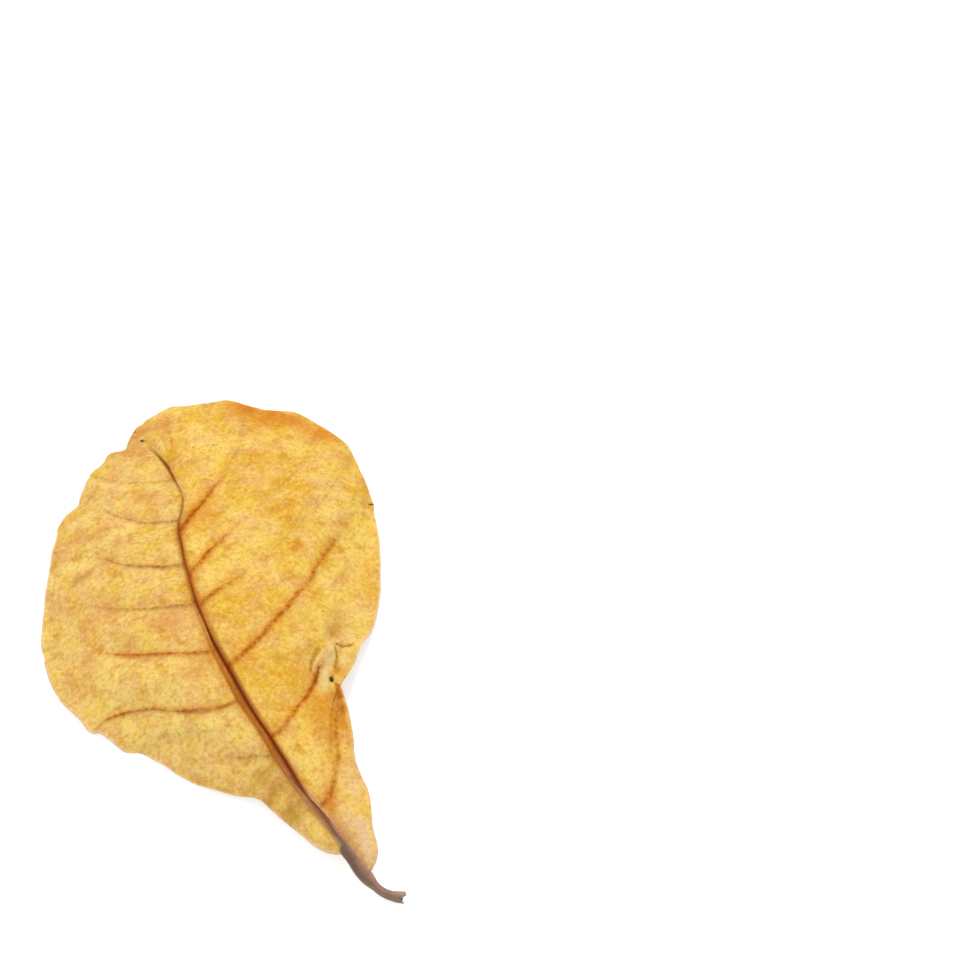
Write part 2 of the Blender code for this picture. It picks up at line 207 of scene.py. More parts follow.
def soft_noise(across, along, seed):
    """Smooth random numbers from -1 to 1.

    Random values stand on the points of a unit lattice, and an S-shaped step in both directions
    blends between the four around each place.
    """
    lattice = np.random.default_rng(seed).uniform(-1.0, 1.0, (LATTICE_SIZE, LATTICE_SIZE))
    column, row = np.floor(across).astype(int), np.floor(along).astype(int)
    part_across, part_along = ease(0.0, 1.0, across - column), ease(0.0, 1.0, along - row)
    column, next_column = column % LATTICE_SIZE, (column + 1) % LATTICE_SIZE
    row, next_row = row % LATTICE_SIZE, (row + 1) % LATTICE_SIZE
    near = lattice[column, row] * (1 - part_across) + lattice[next_column, row] * part_across
    far = lattice[column, next_row] * (1 - part_across) + lattice[next_column, next_row] * part_across
    return near * (1 - part_along) + far * part_along


# Side veins from base to tip: root along the midrib, end along the margin, bow towards the base,
# more bow of the outer part, how dark, how far out on its way it stays dark, how orange
LEFT_VEINS = (
    (42, 68.5, -1.8, 1, 0.4, 0.45, 0.1), (63.7, 97, 7.3, -10, 0.8, 0.95, 0.5),
    (82, 138.1, 4.3, 0.3, 0.85, 0.55, 0.8), (101.6, 157, 7.3, -1.6, 0.4, 0.55, 0.3),
    (118.6, 171.9, 7.3, -5, 0.6, 0.5, 0.3), (138, 198.3, 9, -3.4, 0.4, 0.6, 0.1),
    (158.3, 206.1, 4.2, -0.6, 0.22, 0.45, 0.5),
)
RIGHT_VEINS = (
    (23, 60, 7, -6, 0.55, 0.9, 0.9), (48.6, 85.4, 4.2, -7, 0.7, 0.56, 1),
    (74.9, 147.9, 6, -3, 0.75, 0.66, 1), (100.4, 165, 5.5, 1.1, 0.75, 0.13, 1),
    (113.2, 179.5, -0.4, 5.1, 1.15, 0.22, 1), (133.1, 207.7, 3.2, 3.1, 0.9, 0.36, 1),
    (161.7, 234.8, 0.9, 0.8, 0.16, 0.5, 1),
)

# How far along the midrib, and along each margin, that side of the blade hugs the rib and the
# base's lobe ends. From there outwards the rows follow the veins.
LEFT_FOOT = (8.3, 9.0)
RIGHT_FOOT = (8.0, 21.0)

# Rows of the mesh along the midrib: their step, the start, end and step of finer ones beside the
# pucker, those beside each vein's root, and the gap that all of them keep
ROW_STEP = 1.15
PUCKER_ROWS = (20.0, 48.0, 0.8)
VEIN_ROWS = (-1.6, -1.1, -0.75, -0.45, -0.2, 0.0, 0.2, 0.45, 0.75, 1.1, 1.6)
ROW_GAP = 0.2


def row_places(length):
    """Distances along the midrib of all rows: close together across each vein, even between."""
    roots = np.array([vein[0] for vein in LEFT_VEINS + RIGHT_VEINS])
    even = np.arange(0.0, length, ROW_STEP)
    even = even[(even < PUCKER_ROWS[0]) | (even > PUCKER_ROWS[1])]
    places = np.concatenate([even, np.arange(*PUCKER_ROWS), (roots[:, None] + VEIN_ROWS).ravel()])
    places = np.unique(np.round(places / ROW_GAP)) * ROW_GAP
    return np.append(places[places < length - 2.0 * ROW_GAP], length)


# Between two veins the blade swells up, and on each vein it has a rounded valley. Towards its
# margin it bends down and waves: height, waves round the margin, and how fast they fade inwards.
LEFT_SWELL = 1.5
RIGHT_SWELL = 1.0
SWELL_POWER = 0.7
VALLEY_ROUNDING = 0.12
DROP_POWER = 1.5
WAVE_HEIGHT = 0.7
WAVE_COUNTS = (7.0, 13.0)
WAVE_POWER = 4.0


def between_veins(rows, veins):
    """How far each row is from the veins beside it: near 0 on a vein, 1 midway between two.

    It is half a sine wave from one vein to the next, with its foot rounded off.
    """
    roots = [vein[0] for vein in veins]
    roots = np.array([-roots[0]] + roots + [rows[-1]])
    gap = np.clip(np.searchsorted(roots, rows, side="right") - 1, 0, len(roots) - 2)
    part = (rows - roots[gap]) / (roots[gap + 1] - roots[gap])
    return np.hypot(np.sin(np.pi * part), VALLEY_ROUNDING)


# Pucker near the right margin, and its folds: start, end, half-width on either side, height
PUCKER_PLACE = (27.0, 64.5)
PUCKER_RADIUS = 5.5
PUCKER_HEIGHT = 2.6
HOLE = ((17.8, 56.3), (17.5, 55.5))
FOLDS = (
    ((14.8, 60.2), (22.8, 66.4), 0.6, 2.4, 1.8),
    ((13, 60.6), (18.6, 66.6), 0.7, 0.6, -0.7),
    ((24.3, 66.6), (27.8, 64.4), 0.7, 0.9, -1.1),
    ((23.8, 64.4), (20.2, 58.9), 0.9, 0.6, -0.9),
    ((13.5, 57.7), (7.5, 51.5), 0.9, 1.4, -0.5),
    ((17.8, 53.6), (15, 42.5), 0.9, 1.1, -0.6),
    ((19.2, 51.5), (16.8, 42), 1, 1, 0.5),
    ((15.5, 68), (10.5, 66.9), 1, 1, -0.4),
    ((23, 70), (25.6, 74.5), 1.2, 1.2, -0.5),
    (*HOLE, 0.75, 0.75, -1.3),
)


def fold_shape(plan, start, end, left_width, right_width):
    """Bell-shaped ridge of height 1 along a line, each side with its own half-width.

    Left is as seen from the start. Past either end the ridge fades out over one half-width.
    """
    start, end = np.array(start), np.array(end)
    run = end - start
    length = np.hypot(run[0], run[1])
    run = run / length
    offset = plan - start
    along = offset @ run
    aside = offset[..., 1] * run[0] - offset[..., 0] * run[1]
    past = np.maximum(np.maximum(-along, along - length), 0.0)
    width = np.where(aside > 0, left_width, right_width)
    return bump_at(np.hypot(aside, past), width)


# The margins' roughness: length and depth of two smooth noises. Their nicks: distance along the
# margin, half-length, depth.
MARGIN_ROUGHNESS = ((2.3, 0.16), (5.9, 0.12))
LEFT_NICKS = ((132.6, 1.2, 0.4),)
RIGHT_NICKS = ((138.5, 0.8, 0.8),)


def margin_inset(rows, ends, nicks, seed):
    """How far the outer end of each row is moved in, by the margin's roughness and its nicks.

    The roughness is smooth noise, and a nick is a bell curve. Both fade out at stalk and tip.
    """
    inset = 0.0 * ends
    for number, (length, depth) in enumerate(MARGIN_ROUGHNESS):
        inset = inset + depth * soft_noise(ends / length, 0.0 * ends, seed + number)
    for place, half_length, depth in nicks:
        inset = inset + depth * bump_at(ends - place, half_length)
    return inset * ease(0.0, 6.0, rows) * ease(0.0, 4.0, rows[-1] - rows)


# Creases of the dry blade: depth, length along the row, width along the midrib. Dimples: depth, size.
LONG_CREASES = (0.16, 15.0, 2.6)
WIDE_CREASES = (0.22, 7.0, 6.5)
DIMPLES = (0.09, 2.4)


def crease_height(gone, row_grid, plan, swell, seed):
    """Height of the blade's creases and dimples, each kind a smooth noise."""
    depth, length, width = LONG_CREASES
    height = swell * depth * soft_noise(gone / length, row_grid / width, seed + 2)
    depth, length, width = WIDE_CREASES
    height += depth * soft_noise(gone / length, row_grid / width, seed + 3)
    depth, size = DIMPLES
    dimples = plan / size + 40.0
    return height + depth * soft_noise(dimples[:, :, 0], dimples[:, :, 1], seed + 4)


# Side veins: how high they stand and the radius of their section, at the midrib and at the margin,
# the radii of their dark line and of the glow round it, how far they wander, and how strong a
# vein still is beyond its dark part
VEIN_HEIGHTS = (0.75, 0.20)
VEIN_RADII = (0.62, 0.558)
LEFT_LINE_RADII = (0.55, 1.5)
RIGHT_LINE_RADII = (0.85, 2.1)
LINE_NARROWING = 0.35
VEIN_WANDER = 0.5
FAINT_TRACE = 0.14


def vein_marks(way, gone, row_grid, spacing, veins, line_radii, seed):
    """Relief, dark line, glow and warmth of the side veins, over the grid of one half.

    Each is a bell curve of the distance from a vein, square to it. One smooth noise makes the
    vein wander, and another makes it stronger and weaker along its length.
    """
    relief, line, glow, warmth = np.zeros((4, *way.shape))
    height = VEIN_HEIGHTS[0] + (VEIN_HEIGHTS[1] - VEIN_HEIGHTS[0]) * way
    radius = VEIN_RADII[0] + (VEIN_RADII[1] - VEIN_RADII[0]) * way
    narrowing = 1 - LINE_NARROWING * way
    before_margin = 1 - ease(0.93, 1.0, way)
    for number, (root, _, _, _, darkness, dark_to, orange) in enumerate(veins):
        wander = VEIN_WANDER * soft_noise(gone / 5.0 + 11.0 * number, gone * 0.0, seed + 5)
        away = np.abs((row_grid - root) * spacing - wander * ease(0.0, 8.0, gone))
        strength = darkness * (1 - ease(dark_to - 0.12, dark_to + 0.14, way)) + FAINT_TRACE
        strength *= 1.0 + 0.35 * soft_noise(gone / 2.6 + 7.0 * number, gone * 0.0, seed + 6)
        ridge = height * (0.35 + 0.65 * strength) * before_margin
        relief = np.maximum(relief, ridge * bump_at(away, radius))
        strength *= before_margin
        line = np.maximum(line, strength * bump_at(away, line_radii[0] * narrowing))
        halo = strength * bump_at(away, line_radii[1] * narrowing)
        warmth = np.where(halo > glow, orange * (1 - ease(dark_to, dark_to + 0.3, way)), warmth)
        glow = np.maximum(glow, halo)
    return relief, line, glow, warmth


# Sections of the midrib: distance along it, half its width, how far it stands out of the blade
RIB_SECTIONS = (
    (0, 1.15, 1.3), (8, 1.3, 1.5), (18, 1.5, 1.8), (40, 1.45, 1.6), (65, 1.2, 1.35), (98, 0.95, 1),
    (128, 0.7, 0.7), (155, 0.55, 0.5), (195, 0.45, 0.3),
)

# Half the blade's thickness, inside and at its edge, and how far from the edge it starts to thin
BLADE_HALF_THICKNESS = 0.26
EDGE_HALF_THICKNESS = 0.13
EDGE_TAPER = 1.2

# Columns of the mesh: in half-widths of the midrib, evenly across the blade, and by shares of the
# edge's taper. Near the base the midrib takes at most this share of a row.
RIB_COLUMNS = (0.0, 0.14, 0.28, 0.42, 0.56, 0.70, 0.82, 0.92, 1.0, 1.12)
RIB_SHARE_AT_BASE = 0.8
BLADE_COLUMNS = 48
EDGE_COLUMNS = (0.75, 0.42, 0.17, 0.0)


def half_blade(rows, midrib, side, margin_points, foot, veins, line_radii, nicks, swell, seed):
    """One half of the blade, on a grid of rows and columns, as named arrays.

    On its row, a point goes from midrib to margin on a curve that bows as the nearest veins do: a
    parabola, and a cubic that is highest two thirds of the way out. Its height falls with a power
    of the way gone, plus swelling, waves, creases and pucker. The midrib's section is a quarter of
    an ellipse on the left, where the side is -1, and half a parabola on the right, where it is 1.
    """
    along, margin = dense_curve(margin_points)

    # Rows whose outer ends and bows are given: at the base, the foot, each vein and the tip
    start = [(0.0, 0.0, 0.0, 0.0), (*foot, 0.0, 0.0)]
    stations = np.array(start + [vein[:4] for vein in veins] + [(rows[-1], along[-1], 0.0, 0.0)])
    ends, bows, outer_bows = (np.interp(rows, stations[:, 0], values) for values in stations.T[1:])
    outer = points_at(along, margin, ends)
    chord = outer - midrib
    reach = np.linalg.norm(chord[:, :2], axis=1, keepdims=True)
    baseward = side * np.stack([chord[:, 1], -chord[:, 0]], axis=1) / reach

    # How far each column has gone from the midrib, in millimetres and as a share of the whole way
    places, half_widths, rib_heights = np.array(RIB_SECTIONS).T
    rib = np.interp(rows, places, half_widths)[:, None]
    inner = np.minimum(rib * RIB_COLUMNS[-1], RIB_SHARE_AT_BASE * reach)
    taper = np.minimum(EDGE_TAPER, (reach - inner) / 2.0)
    steps = np.arange(1, BLADE_COLUMNS + 1) / BLADE_COLUMNS
    gone = np.concatenate([
        inner * np.array(RIB_COLUMNS) / RIB_COLUMNS[-1],
        inner + (reach - taper - inner) * steps,
        reach - taper * np.array(EDGE_COLUMNS),
    ], axis=1)
    way = np.minimum(gone / reach, 1.0)

    inset = margin_inset(rows, ends, nicks, seed)[:, None]
    way_plan = way * (1 - inset / reach * way ** 3)
    plan = midrib[:, None, :2] + chord[:, None, :2] * way_plan[:, :, None]
    bend = bows[:, None] * 4.0 * way * (1 - way)
    bend += outer_bows[:, None] * 6.75 * way ** 2 * (1 - way)
    plan += baseward[:, None, :] * bend[:, :, None]

    row_grid = rows[:, None] + 0.0 * way
    envelope = (4.0 * way * (1 - way)) ** SWELL_POWER
    turn = (ends / along[-1])[:, None] * 2.0 * np.pi
    wave = sum(np.sin(count * turn + count) for count in WAVE_COUNTS) * np.sin(turn / 2.0)
    from_pucker = np.linalg.norm(plan - PUCKER_PLACE, axis=2)
    inside = ease(1.0, 6.0, gone) * ease(0.0, 8.0, rows)[:, None]
    height = midrib[:, 2:] + chord[:, 2:] * way ** DROP_POWER
    height += swell * between_veins(rows, veins)[:, None] * envelope
    height += WAVE_HEIGHT * wave * way ** WAVE_POWER
    height += PUCKER_HEIGHT * bump_at(from_pucker, PUCKER_RADIUS)
    height += inside * crease_height(gone, row_grid, plan, swell, seed)
    for *fold, fold_height in FOLDS:
        height += inside * fold_height * fold_shape(plan, *fold)

    # Distance between two rows a millimetre apart on the midrib, square to them
    row_step = np.gradient(plan, rows, axis=0)
    outward = np.gradient(plan, axis=1)
    outward /= np.linalg.norm(outward, axis=2, keepdims=True)
    spacing = np.abs(row_step[:, :, 0] * outward[:, :, 1] - row_step[:, :, 1] * outward[:, :, 0])
    relief, line, glow, warmth = vein_marks(way, gone, row_grid, spacing, veins, line_radii, seed)

    rib_height = np.interp(rows, places, rib_heights)[:, None]
    rib_power = 0.5 if side < 0 else 1.0
    rib_shape = rib_height * np.clip(1 - (gone / rib) ** 2, 0.0, None) ** rib_power
    rib_foot = 0.25 * rib_height * bump_at(gone / rib, 1.3)
    edge = reach - gone
    thickening = (BLADE_HALF_THICKNESS - EDGE_HALF_THICKNESS) * ease(0.0, EDGE_TAPER, edge)
    return {
        "middle": np.concatenate([plan, height[:, :, None]], axis=2),
        "relief": np.maximum(rib_shape, np.maximum(relief, rib_foot)),
        "half_thickness": EDGE_HALF_THICKNESS + thickening,
        "vein_line": line,
        "vein_glow": glow,
        "vein_warmth": warmth,
        "across_rib": side * gone / rib,
        "across": side * gone,
        "along": row_grid,
        "edge": edge,
    }


# The tip is rolled under into a flap, which runs out narrower
TIP_ROLL_RADIUS = 1.15
TIP_FLAP_LENGTH = 5.5
TIP_NARROWING = 0.6
TIP_ROLL_ROWS = 10
TIP_FLAP_ROWS = 5


def tip_roll(last_row):
    """Rows that carry on from the last one, ever narrower: half a turn, then back under as a flap."""
    chord = last_row[-1] - last_row[0]
    forward = np.array([-chord[1], chord[0], 0.0]) / np.hypot(chord[0], chord[1])
    down = np.array([0.0, 0.0, -1.0])
    turns = np.pi * np.arange(1, TIP_ROLL_ROWS + 1) / TIP_ROLL_ROWS
    lengths = TIP_FLAP_LENGTH * np.arange(1, TIP_FLAP_ROWS + 1) / TIP_FLAP_ROWS
    rolled = forward * np.sin(turns)[:, None] + down * (1 - np.cos(turns))[:, None]
    flap = 2.0 * TIP_ROLL_RADIUS * down - forward * lengths[:, None]
    gone = np.concatenate([turns * TIP_ROLL_RADIUS, np.pi * TIP_ROLL_RADIUS + lengths])
    widths = 1 - TIP_NARROWING * gone / gone[-1]
    middle = last_row[len(last_row) // 2]
    steps = np.concatenate([TIP_ROLL_RADIUS * rolled, flap])
    return middle + (last_row - middle) * widths[:, None, None] + steps[:, None]


def surface_normals(grid):
    """Unit normals of a grid of points, from the neighbours of each along its row and column."""
    normals = np.cross(np.gradient(grid, axis=1), np.gradient(grid, axis=0))
    return normals / np.linalg.norm(normals, axis=2, keepdims=True)


# Sections of the stalk, wider at its broken end: share of its length, half its width and height
STALK_SECTIONS = (
    (0, 1.7, 1.35), (0.2, 1.35, 1.25), (0.45, 1.25, 1.15), (0.7, 1.25, 1.2), (1, 1.45, 1.3),
)

# Flutes along the stalk, from two smooth noises: how fine they are round it, how far they run
# before they change, and the noise's seed
STALK_FLUTES = ((6.0, 9.0, 51), (2.0, 3.0, 52))
FLUTE_DEPTH = 0.05

# Prongs of the broken end: angle round the stalk from its right side, spread, how far they would
# reach. The next value is about how far they really do, so that they are blunt.
STALK_PRONGS = ((1.15, 0.8, 2.2), (3.1, 0.55, 1.1), (-1.7, 0.5, 0.5))
PRONG_REACH = 1.35

# Depth of the hollow in the broken end, and how many rings of points the stalk and that end have
STALK_HOLLOW = 0.8
STALK_ROWS = 44
STALK_END_RINGS = 6


def stalk_rings(along, curve, base, first_ring):
    """Rings of the stalk from the heart of its broken end to the blade, and their points' places.

    A ring is a fluted ellipse. In the half nearest to the blade it turns by smooth steps into the
    blade's first ring. At the broken end, bell-shaped prongs stand out, cut off blunt, and smaller
    rings close it round a hollow. The places are how far a point is to the right of the stalk's
    middle, how far above it, and how far along.
    """
    shares = np.arange(STALK_ROWS + 1) / STALK_ROWS
    centres = points_at(along, curve, base * shares)
    ahead = points_at(along, curve, base * shares + 0.5) - centres
    ahead[:, 2] = 0.0
    ahead /= np.linalg.norm(ahead, axis=1, keepdims=True)
    across = np.stack([ahead[:, 1], -ahead[:, 0], 0.0 * shares], axis=1)
    offsets = first_ring - centres[-1]
    nearness = ease(0.5, 1.0, shares)[:, None]

    count = len(first_ring)
    angles = np.pi - 2.0 * np.pi * (np.arange(count) + 0.5) / count
    lengths = base * shares[:, None]
    flute = 0.0
    for fineness, stretch, seed in STALK_FLUTES:
        beside, above = fineness * np.cos(angles) + 20.0, fineness * np.sin(angles) + 20.0
        flute = flute + FLUTE_DEPTH * soft_noise(beside, above + lengths / stretch, seed)
    places, half_widths, half_heights = np.array(STALK_SECTIONS).T
    middle_height = RIB_SECTIONS[0][2] / 2.0
    aside = np.interp(shares, places, half_widths)[:, None] * (1.0 + flute) * np.cos(angles)
    height = np.interp(shares, places, half_heights)[:, None] * (1.0 + flute) * np.sin(angles)
    height += middle_height
    forward = (offsets @ ahead[-1]) * nearness
    aside += (offsets @ across[-1] - aside) * nearness
    height += (offsets[:, 2] - height) * nearness

    prongs = 0.25 * soft_noise(angles * 4.0 + 20.0, angles * 0.0, 53)
    for angle, spread, reach in STALK_PRONGS:
        turned = np.abs((angles - angle + np.pi) % (2.0 * np.pi) - np.pi)
        prongs = prongs + reach * bump_at(turned, spread)
    prongs = np.minimum(prongs, PRONG_REACH + 0.2 * np.sin(angles * 5.0))
    forward -= prongs * (1 - ease(0.0, 1.5, lengths))

    # Smaller rings from the broken edge in to the heart, deepest halfway
    shrink = np.linspace(0.12, 0.92, STALK_END_RINGS)[:, None]
    end_forward = STALK_HOLLOW + (forward[:1] - STALK_HOLLOW) * shrink ** 3
    ragged = soft_noise(angles * 2.0 + 30.0, shrink * 4.0, 54)
    end_forward = end_forward + 0.4 * ragged * (1 - shrink ** 4)
    aside = np.concatenate([aside[:1] * shrink, aside[:-1]])
    height = np.concatenate([middle_height + (height[:1] - middle_height) * shrink, height[:-1]])
    forward = np.concatenate([end_forward, forward[:-1]])
    row = np.concatenate([np.zeros(STALK_END_RINGS, int), np.arange(STALK_ROWS)])
    rings = centres[row, None] + across[row, None] * aside[:, :, None]
    rings += ahead[row, None] * forward[:, :, None]
    rings[:, :, 2] += height
    return rings, aside, height - middle_height, base * shares[row, None] - base + 0.0 * aside


def ring_faces(ring_count, ring_size):
    """Four-sided faces between neighbouring rings of points, as rows of point numbers."""
    start = np.arange(ring_count - 1)[:, None] * ring_size
    place = np.arange(ring_size)[None]
    beside = (place + 1) % ring_size
    near, next_near = start + place, start + beside
    return np.stack([near, next_near, next_near + ring_size, near + ring_size], axis=-1).reshape(-1, 4)


# Shape of the leaf
spine_along, spine = dense_curve(STALK + MIDRIB)
blade_base = spine_along[np.argmin(np.linalg.norm(spine - MIDRIB[0], axis=1))]
leaf_rows = row_places(spine_along[-1] - blade_base)
midrib = points_at(spine_along, spine, blade_base + leaf_rows)
left_half = half_blade(
    leaf_rows, midrib, -1.0, LEFT_MARGIN, LEFT_FOOT, LEFT_VEINS, LEFT_LINE_RADII, LEFT_NICKS,
    LEFT_SWELL, 11)
right_half = half_blade(
    leaf_rows, midrib, 1.0, RIGHT_MARGIN, RIGHT_FOOT, RIGHT_VEINS, RIGHT_LINE_RADII, RIGHT_NICKS,
    RIGHT_SWELL, 31)
blade = {
    name: np.concatenate([left_half[name][:, :0:-1], right_half[name]], axis=1) for name in right_half
}
roll = tip_roll(blade["middle"][-1])
for name, values in blade.items():
    more = roll if name == "middle" else np.repeat(values[-1:], len(roll), axis=0)
    blade[name] = np.concatenate([values, 0.0 * more if name == "relief" else more])

normals = surface_normals(blade["middle"])
top = blade["middle"] + normals * (blade["relief"] + blade["half_thickness"])[:, :, None]
bottom = blade["middle"] - normals * blade["half_thickness"][:, :, None]
blade_rings = np.concatenate([top, bottom[:, ::-1]], axis=1)
ring_size = blade_rings.shape[1]
stalk, stalk_aside, stalk_height, stalk_along = stalk_rings(
    spine_along, spine, blade_base, blade_rings[0])
rings = np.concatenate([stalk, blade_rings])

# What would lie lower than the floor is lifted on to it, both faces of the blade alike
sunk = np.minimum(rings[:, :, 2], rings[:, ::-1, 2])
sunk[:len(stalk)] = rings[:len(stalk), :, 2]
rings[:, :, 2] -= np.minimum(sunk, 0.0)
low, high = rings.min(axis=(0, 1)), rings.max(axis=(0, 1))
leaf_shift = np.array([(low[0] + high[0]) / 2.0, (low[1] + high[1]) / 2.0, 0.0])
leaf_points = rings.reshape(-1, 3) - leaf_shift

# Faces between the rings, then those that close the flap's end, and the heart of the broken stalk
leaf_faces = ring_faces(len(rings), ring_size).tolist()
last_ring = (len(rings) - 1) * ring_size
columns = ring_size // 2
for place in range(columns - 1):
    above, under = last_ring + place, last_ring + ring_size - 1 - place
    leaf_faces.append((above, above + 1, under - 1, under))
leaf_faces.append(tuple(range(ring_size))[::-1])
leaf_mesh = bpy.data.meshes.new("dried_leaf")
leaf_mesh.from_pydata((leaf_points * MILLIMETRE).tolist(), [], leaf_faces)
leaf_mesh.validate()
leaf_mesh.shade_smooth()
leaf = bpy.data.objects.new("dried_leaf", leaf_mesh)
scene.collection.objects.link(leaf)

# The dark line on the midrib, near its base painted shade on its left wall: distance along it, how far
# right of its middle, radius, strength
RIB_LINE = (
    (-15, -0.8, 0.7, 0.5), (-8, -0.7, 0.5, 0.3), (-5, -0.65, 0.4, 0.4), (-1, -0.65, 0.3, 0.8),
    (2, -0.65, 0.28, 0.9), (8, -0.6, 0.32, 0.9), (14, -0.7, 0.4, 0.95), (20, -0.45, 0.45, 0.95),
    (30, 0.6, 0.7, 1), (40, 1.1, 0.85, 1), (55, 0.8, 0.7, 1), (70, 1.2, 0.85, 1),
    (85, 0.65, 0.7, 1), (100, 0.05, 0.6, 1), (115, 0, 0.6, 1), (130, -0.35, 0.6, 1),
    (142, -0.1, 0.5, 0.9), (150, 0.1, 0.5, 0.9), (162, -0.3, 0.55, 1), (172, -0.65, 0.5, 1),
    (178, -0.7, 0.5, 0.8), (182, -0.7, 0.35, 0),
)

# How far along the colour of the midrib's left wall fades to part, and that of both fades out
RIB_FADE = ((66, 96), (112, 134))

# How strongly the blade glows orange beside the midrib, on its left and on its right
RIB_GLOW = (
    (0, 0, 0), (15, 0.2, 0.4), (30, 0.4, 0.5), (45, 0.3, 0.6), (70, 0.5, 0.9), (85, 0.6, 0.8),
    (100, 0.5, 1), (118, 0.3, 0.9), (130, 0.2, 0.5), (142, 0, 0),
)
RIB_GLOW_RADIUS = 1.6

# Spots of other colours, as seen from 0 to 255: place across and along, radius, strength
SPOTS = {
    "golden_flush": ((226, 146, 36), (
        (36.5, 171.5, 5.5, 0.8), (43.5, 165, 6, 0.8), (50.5, 158.5, 5.5, 0.7), (56.5, 149, 5, 0.6),
        (59.5, 138.5, 4.5, 0.55), (61, 128, 3.5, 0.55), (53, 152, 5, 0.3), (31.5, 147, 4, 0.4),
        (25, 121.5, 4, 0.35), (7.5, 127, 5, 0.5), (3.5, 93.5, 4, 0.35), (27.5, 104, 2.6, 0.4),
        (12, 141, 4, 0.25), (39, 127, 4, 0.25), (8, 37.5, 4.5, 0.45), (9.8, 44.5, 4, 0.5),
        (8, 60.5, 3.5, 0.45), (13, 49, 4, 0.4),
    )),
    "orange_flush": ((212, 118, 18), (
        (38.5, 170.5, 2.6, 0.75), (45.5, 165.5, 2.6, 0.7), (49, 159.5, 2.2, 0.6),
        (41, 162.5, 1.8, 0.5), (55.5, 150.5, 1.8, 0.4), (27.7, 104.2, 1.6, 0.55),
        (31.2, 147.5, 1.8, 0.35), (0, 17, 2.4, 0.75), (2, 20.5, 1.5, 0.5), (19.9, 57.4, 1.2, 0.75),
        (9.8, 59, 1.6, 0.3), (16.9, 50, 1.5, 0.8), (16.4, 45.5, 1.6, 0.8), (15, 41, 1.6, 0.7),
        (13.6, 37, 1.6, 0.5), (10.5, 167.5, 1.4, 0.45), (12, 177, 2.4, 0.65),
        (11.3, 172, 1.5, 0.55), (10, 52.5, 2, 0.4), (7.5, 42.5, 2.4, 0.3), (-4, 122.5, 2.4, 0.5),
        (8.5, 36.5, 1.6, 0.4),
    )),
    "mustard_stain": ((186, 130, 32), (
        (-13.5, 34.5, 3, 0.65), (-11.5, 29, 2.6, 0.6), (-10.4, 21.5, 2.6, 0.75),
        (-14.3, 27.5, 2, 0.45), (-9.3, 18.2, 1.8, 0.45), (12, 66.6, 2.2, 0.45),
        (16, 67.8, 1.8, 0.45), (26, 73.2, 2.2, 0.8), (24.3, 70.6, 1.4, 0.6), (5.8, 66.1, 2, 0.45),
        (14.5, 34, 1.2, 0.4), (29, 78, 2.6, 0.5), (59.5, 119.8, 0.9, 0.9), (21.6, 55.2, 0.8, 0.3),
    )),
    "tan_blotch": ((222, 150, 70), (
        (-11.6, 162.5, 3.6, 0.55), (-3.4, 144.6, 3.4, 0.5), (-7.5, 146, 3.4, 0.5),
        (-23.5, 139.7, 3.2, 0.6), (-30, 143, 3.4, 0.4), (-18.2, 92.4, 3.4, 0.5),
        (-22, 94.5, 3, 0.4), (-16.7, 90.4, 3, 0.35), (-38.6, 108.2, 3.6, 0.45), (-19, 72.2, 4, 0.5),
        (-14, 75.5, 3.4, 0.4), (-27, 128, 3.2, 0.35), (-33, 92, 3.6, 0.35), (-45, 92, 3, 0.35),
        (-27, 52, 3, 0.3), (-30.2, 110.9, 3, 0.3), (6.5, 179.5, 3.5, 0.6), (9.5, 176, 3, 0.45),
        (3.5, 181.5, 2.5, 0.6), (14.5, 181, 2.5, 0.3), (-3.7, 173.2, 2.6, 0.7),
        (0.1, 173.5, 2.6, 0.65), (2, 169, 2.6, 0.6), (-3, 168.5, 3, 0.45), (0.5, 163.5, 3, 0.35),
        (1, 178.5, 2.2, 0.45), (-7, 172.5, 2.2, 0.5),
    )),
    "brown_streak": ((190, 118, 44), (
        (-36.6, 126.9, 1.3, 0.5), (-34.4, 126.1, 1.3, 0.6), (-32.2, 125.2, 1.2, 0.5),
        (-26.6, 139.5, 1.2, 0.35), (-46, 86, 1.4, 0.3), (-8.6, 145.6, 1.2, 0.3),
    )),
    "peach_base": ((238, 198, 152), (
        (3.4, 1, 2.6, 0.9), (4.4, 5, 2.6, 0.8), (2.6, -2.6, 1.8, 0.8), (4, 9.5, 2.4, 0.55),
        (2.8, 13.5, 2.4, 0.45), (6.5, 8.5, 2.6, 0.4), (8.5, 20, 4, 0.35), (10.5, 27.5, 3.5, 0.3),
    )),
    "tan_base": ((206, 150, 106), (
        (1, -3, 1.1, 0.9), (1.2, -0.6, 1.3, 0.8), (0.9, 2.6, 1.5, 0.8), (0.4, 6, 1.6, 0.8),
        (-0.2, 9.5, 1.5, 0.75), (-1, 13, 1.3, 0.65),
    )),
    # The raised flap's pale colour, partly painted light where it catches the lamp
    "pale_lit_flap": ((236, 208, 140), (
        (16.6, 61, 1.9, 0.85), (19.2, 62.6, 2.2, 0.85), (21.8, 64.8, 2, 0.85),
        (15.8, 59, 1.6, 0.75), (15.4, 56.4, 1.9, 0.8), (14, 53.6, 1.9, 0.6), (23.2, 67.4, 1.2, 0.7),
    )),
    # Pale patches by the pucker, together with painted highlights on its folds
    "pale_patch_and_highlight": ((255, 232, 150), (
        (23.6, 60.2, 1.5, 0.8), (22.8, 67, 0.9, 0.8), (15.6, 60.2, 0.8, 0.8), (29, 67.5, 2, 0.4),
        (27.5, 61, 1.6, 0.35), (33, 73, 2.6, 0.35), (16.4, 58.6, 0.8, 0.6),
    )),
}
